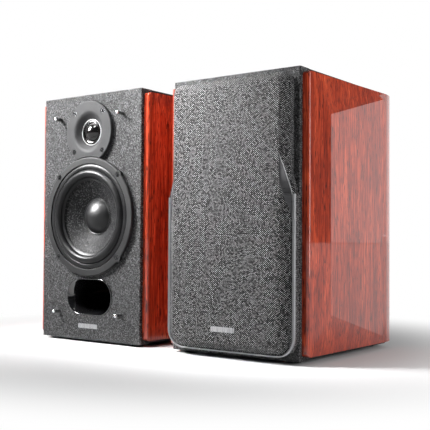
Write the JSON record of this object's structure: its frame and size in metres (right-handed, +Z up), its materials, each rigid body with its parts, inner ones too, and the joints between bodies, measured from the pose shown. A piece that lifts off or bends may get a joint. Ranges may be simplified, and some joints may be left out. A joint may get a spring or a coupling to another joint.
{
  "type": "desktop speakers",
  "caption": "Pair of wooden-sided two-way bass-reflex desktop speakers, facetted side panels, leather-grain baffles, one with its bevelled cloth grille fitted and one with it off.",
  "frame": {"origin": "centre of the whole pair's footprint, on the surface the rubber feet stand on", "axes": "+Z up, fronts face -Y, +X runs from the left speaker to the right speaker"},
  "size_m": [0.3424, 0.1892, 0.2565],
  "materials": {
    "black_vinyl": "satin black vinyl wrap over fibreboard",
    "grain_vinyl": "coarse leather-grain black vinyl, semi-gloss",
    "red_wood": "reddish figured wood under gloss lacquer",
    "pin_steel": "turned steel",
    "foot_rubber": "matt black rubber",
    "port_plastic": "gloss black moulded plastic",
    "driver_plastic": "satin dark grey moulded plastic",
    "dome_film": "gloss black coated film",
    "motor_steel": "plated steel",
    "screw_black": "black oxide",
    "basket_steel": "black painted pressed steel",
    "surround_rubber": "satin black rubber",
    "cone_paper": "black coated paper pulp",
    "cap_plastic": "satin black moulded cap",
    "spider_cloth": "resin treated cloth",
    "coil_copper": "enamelled copper wire on a former",
    "magnet_ferrite": "ground ferrite",
    "circuit_board": "populated board",
    "cup_plastic": "matt black moulded plastic",
    "post_brass": "gold plated brass",
    "knob_red": "translucent red plastic, satin",
    "knob_black": "black plastic, satin",
    "bracket_steel": "black painted steel plate",
    "grille_plastic": "black moulded plastic",
    "grille_fabric": "charcoal woven grille cloth",
    "trim_metal": "satin silver",
    "badge_metal": "bright silver, blank"
  },
  "bodies": {
    "left_speaker": {"left_cabinet": "black_vinyl", "left_baffle": "grain_vinyl", "left_side_panels": "red_wood", "left_grille_pins": "pin_steel", "left_feet": "foot_rubber", "left_port_tube": "port_plastic", "left_tweeter_faceplate": "driver_plastic", "left_tweeter_motor": "motor_steel", "left_driver_screws": "screw_black", "left_woofer_basket": "basket_steel", "left_woofer_trim_ring": "driver_plastic", "left_woofer_surround": "surround_rubber", "left_woofer_spider": "spider_cloth", "left_woofer_magnet": "magnet_ferrite", "left_woofer_pole_plates": "motor_steel", "left_crossover": "circuit_board", "left_terminal_cup": "cup_plastic", "left_binding_posts": "post_brass", "left_wall_bracket": "bracket_steel", "left_rear_screws": "screw_black"},
    "left_woofer_diaphragm": {"left_woofer_cone": "cone_paper", "left_woofer_dust_cap": "cap_plastic", "left_woofer_voice_coil": "coil_copper"},
    "left_tweeter_diaphragm": {"left_tweeter_dome": "dome_film"},
    "left_red_collar": {"left_red_washer": "post_brass"},
    "left_red_cap": {"left_red_knob": "knob_red"},
    "left_black_collar": {"left_black_washer": "post_brass"},
    "left_black_cap": {"left_black_knob": "knob_black"},
    "right_speaker": {"right_cabinet": "black_vinyl", "right_baffle": "grain_vinyl", "right_side_panels": "red_wood", "right_grille_pins": "pin_steel", "right_feet": "foot_rubber", "right_port_tube": "port_plastic", "right_tweeter_faceplate": "driver_plastic", "right_tweeter_motor": "motor_steel", "right_driver_screws": "screw_black", "right_woofer_basket": "basket_steel", "right_woofer_trim_ring": "driver_plastic", "right_woofer_surround": "surround_rubber", "right_woofer_spider": "spider_cloth", "right_woofer_magnet": "magnet_ferrite", "right_woofer_pole_plates": "motor_steel", "right_crossover": "circuit_board", "right_terminal_cup": "cup_plastic", "right_binding_posts": "post_brass", "right_wall_bracket": "bracket_steel", "right_rear_screws": "screw_black"},
    "right_woofer_diaphragm": {"right_woofer_cone": "cone_paper", "right_woofer_dust_cap": "cap_plastic", "right_woofer_voice_coil": "coil_copper"},
    "right_tweeter_diaphragm": {"right_tweeter_dome": "dome_film"},
    "right_red_collar": {"right_red_washer": "post_brass"},
    "right_red_cap": {"right_red_knob": "knob_red"},
    "right_black_collar": {"right_black_washer": "post_brass"},
    "right_black_cap": {"right_black_knob": "knob_black"},
    "right_grille": {"right_grille_frame": "grille_plastic", "right_grille_cloth": "grille_fabric", "right_grille_trim": "trim_metal", "right_grille_badge": "badge_metal"}
  },
  "joints": [
    {"name": "left_woofer_excursion", "type": "slide", "parent": "left_speaker", "child": "left_woofer_diaphragm", "axis": [0, -1, 0], "range_m": [-0.004, 0.004], "stiffness_N_per_m": 1200, "deforming": ["left_woofer_surround", "left_woofer_spider"]},
    {"name": "left_tweeter_excursion", "type": "slide", "parent": "left_speaker", "child": "left_tweeter_diaphragm", "axis": [0, -1, 0], "range_m": [-0.0003, 0.0003], "stiffness_N_per_m": 2500},
    {"name": "left_red_post_travel", "type": "slide", "parent": "left_speaker", "child": "left_red_collar", "axis": [0, 1, 0], "range_m": [0, 0.0032]},
    {"name": "left_red_post_turn", "type": "hinge", "parent": "left_red_collar", "child": "left_red_cap", "pos_m": [-0.10465, 0.0733, 0.0645], "axis": [0, 1, 0], "range_deg": [0, 1350]},
    {"name": "left_black_post_travel", "type": "slide", "parent": "left_speaker", "child": "left_black_collar", "axis": [0, 1, 0], "range_m": [0, 0.0032]},
    {"name": "left_black_post_turn", "type": "hinge", "parent": "left_black_collar", "child": "left_black_cap", "pos_m": [-0.07665, 0.0733, 0.0645], "axis": [0, 1, 0], "range_deg": [0, 1350]},
    {"name": "right_woofer_excursion", "type": "slide", "parent": "right_speaker", "child": "right_woofer_diaphragm", "axis": [0, -1, 0], "range_m": [-0.004, 0.004], "stiffness_N_per_m": 1200, "deforming": ["right_woofer_surround", "right_woofer_spider"]},
    {"name": "right_tweeter_excursion", "type": "slide", "parent": "right_speaker", "child": "right_tweeter_diaphragm", "axis": [0, -1, 0], "range_m": [-0.0003, 0.0003], "stiffness_N_per_m": 2500},
    {"name": "right_red_post_travel", "type": "slide", "parent": "right_speaker", "child": "right_red_collar", "axis": [0, 1, 0], "range_m": [0, 0.0032]},
    {"name": "right_red_post_turn", "type": "hinge", "parent": "right_red_collar", "child": "right_red_cap", "pos_m": [0.07665, 0.0733, 0.0645], "axis": [0, 1, 0], "range_deg": [0, 1350]},
    {"name": "right_black_post_travel", "type": "slide", "parent": "right_speaker", "child": "right_black_collar", "axis": [0, 1, 0], "range_m": [0, 0.0032]},
    {"name": "right_black_post_turn", "type": "hinge", "parent": "right_black_collar", "child": "right_black_cap", "pos_m": [0.10465, 0.0733, 0.0645], "axis": [0, 1, 0], "range_deg": [0, 1350]},
    {"name": "speaker_spacing", "type": "slide", "parent": "left_speaker", "child": "right_speaker", "axis": [1, 0, 0], "range_m": [0, 0.6]},
    {"name": "right_grille_pull", "type": "slide", "parent": "right_speaker", "child": "right_grille", "axis": [0, -1, 0], "range_m": [0, 0.04]}
  ],
  "couplings": [
    {"joint": "left_red_post_travel", "follows": "left_red_post_turn", "m_per_rad": 0.00012732},
    {"joint": "left_black_post_travel", "follows": "left_black_post_turn", "m_per_rad": 0.00012732},
    {"joint": "right_red_post_travel", "follows": "right_red_post_turn", "m_per_rad": 0.00012732},
    {"joint": "right_black_post_travel", "follows": "right_black_post_turn", "m_per_rad": 0.00012732}
  ]
}
